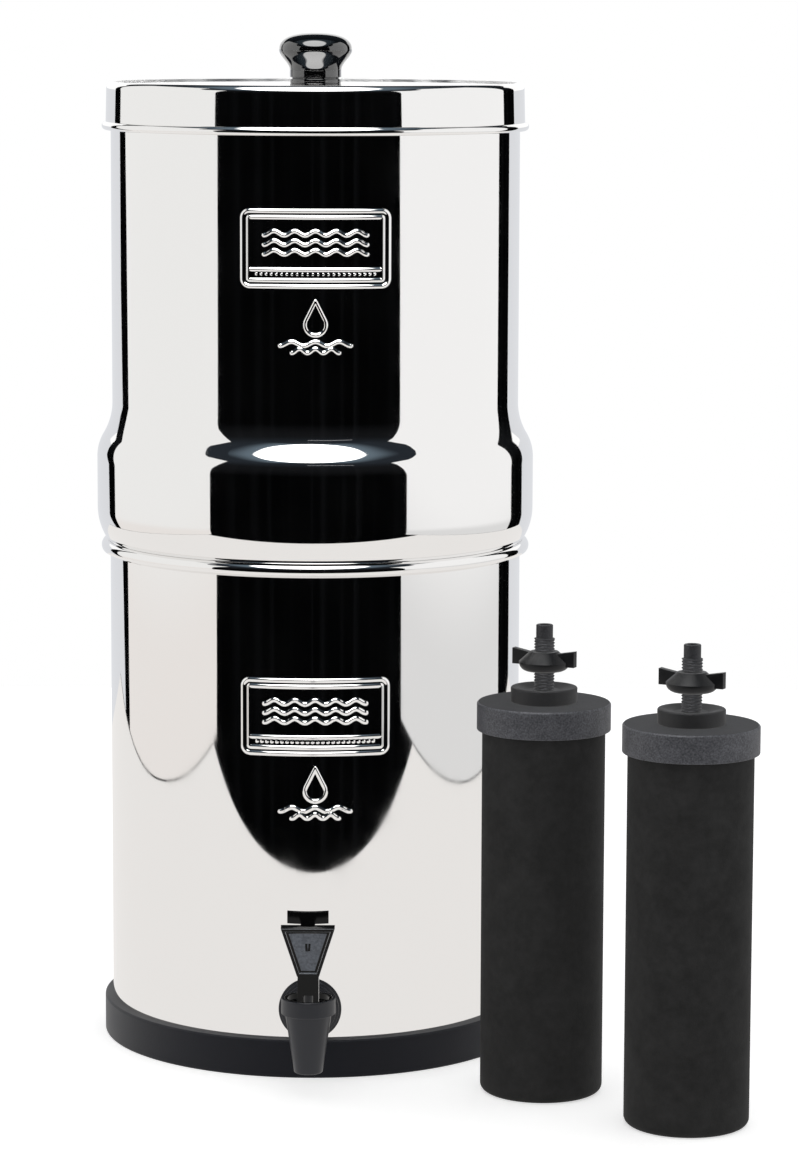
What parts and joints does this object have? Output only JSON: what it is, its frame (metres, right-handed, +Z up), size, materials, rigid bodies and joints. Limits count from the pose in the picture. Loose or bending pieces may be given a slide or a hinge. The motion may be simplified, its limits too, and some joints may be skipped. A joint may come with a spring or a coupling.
{
  "type": "gravity water filter",
  "caption": "Two-chamber steel gravity water filter with a lever tap, a knobbed lid, filter elements fitted inside and a pair standing beside it.",
  "frame": {"origin": "centre of the base ring's underside, on the chambers' axis", "axes": "+Z up along the chambers' axis, -Y out through the tap, +X to the right when facing the tap"},
  "size_m": [0.3098, 0.3147, 0.4893],
  "materials": {
    "polished_steel": "mirror-polished stainless steel",
    "machined_steel": "plain stainless steel",
    "base_rubber": "matte black rubber",
    "gasket_rubber": "soft black rubber",
    "seat_silicone": "translucent silicone",
    "tap_plastic": "moulded black plastic",
    "knob_plastic": "glossy black plastic",
    "cap_plastic": "speckled dark grey plastic",
    "nut_plastic": "moulded black plastic",
    "carbon_block": "pressed matte carbon"
  },
  "bodies": {
    "lower": {"base_ring": "base_rubber", "lower_chamber": "polished_steel", "tap_body": "tap_plastic", "tap_outer_gasket": "gasket_rubber", "tap_inner_gasket": "gasket_rubber", "tap_nut": "tap_plastic", "tap_bonnet": "tap_plastic"},
    "valve": {"valve_stem": "tap_plastic", "seat_cup": "seat_silicone"},
    "lever": {"lever_handle": "tap_plastic", "lever_pin": "machined_steel"},
    "upper": {"upper_chamber": "polished_steel", "blocking_plugs": "gasket_rubber", "fitted_a_carbon": "carbon_block", "fitted_a_cap": "cap_plastic", "fitted_a_washer": "gasket_rubber", "fitted_b_carbon": "carbon_block", "fitted_b_cap": "cap_plastic", "fitted_b_washer": "gasket_rubber"},
    "fitted_nut_a": {"fitted_a_wing_nut": "nut_plastic"},
    "fitted_nut_b": {"fitted_b_wing_nut": "nut_plastic"},
    "cover": {"lid": "polished_steel", "lid_knob": "knob_plastic", "knob_ring": "knob_plastic", "knob_screw": "machined_steel", "knob_washer": "machined_steel"},
    "element_a": {"standing_a_carbon": "carbon_block", "standing_a_cap": "cap_plastic", "standing_a_washer": "gasket_rubber"},
    "standing_nut_a": {"standing_a_wing_nut": "nut_plastic"},
    "element_b": {"standing_b_carbon": "carbon_block", "standing_b_cap": "cap_plastic", "standing_b_washer": "gasket_rubber"},
    "standing_nut_b": {"standing_b_wing_nut": "nut_plastic"}
  },
  "joints": [
    {"name": "valve_lift", "type": "slide", "parent": "lower", "child": "valve", "axis": [0, 0, 1], "range_m": [0, 0.0022]},
    {"name": "lever_pull", "type": "hinge", "parent": "valve", "child": "lever", "pos_m": [0, -0.1364, 0.0499], "axis": [1, 0, 0], "range_deg": [0, 35]},
    {"name": "upper_lift", "type": "slide", "parent": "lower", "child": "upper", "axis": [0, 0, 1], "range_m": [0, 0.06]},
    {"name": "fitted_nut_a_turn", "type": "hinge", "parent": "upper", "child": "fitted_nut_a", "pos_m": [0.03677, 0.03677, 0.2332], "axis": [0, 0, 1], "continuous": true},
    {"name": "fitted_nut_b_turn", "type": "hinge", "parent": "upper", "child": "fitted_nut_b", "pos_m": [-0.03677, -0.03677, 0.2332], "axis": [0, 0, 1], "continuous": true},
    {"name": "lid_lift", "type": "slide", "parent": "upper", "child": "cover", "axis": [0, 0, 1], "range_m": [0, 0.04]},
    {"name": "element_a_lift", "type": "slide", "parent": "lower", "child": "element_a", "axis": [0, 0, 1], "range_m": [0, 0.06]},
    {"name": "element_b_lift", "type": "slide", "parent": "lower", "child": "element_b", "axis": [0, 0, 1], "range_m": [0, 0.06]},
    {"name": "standing_nut_a_turn", "type": "hinge", "parent": "element_a", "child": "standing_nut_a", "pos_m": [0.10843, -0.12043, 0.1985], "axis": [0, 0, 1], "continuous": true},
    {"name": "standing_nut_b_turn", "type": "hinge", "parent": "element_b", "child": "standing_nut_b", "pos_m": [0.17257, -0.17757, 0.1985], "axis": [0, 0, 1], "continuous": true}
  ],
  "couplings": [
    {"joint": "valve_lift", "follows": "lever_pull", "m_per_rad": 0.0035}
  ]
}
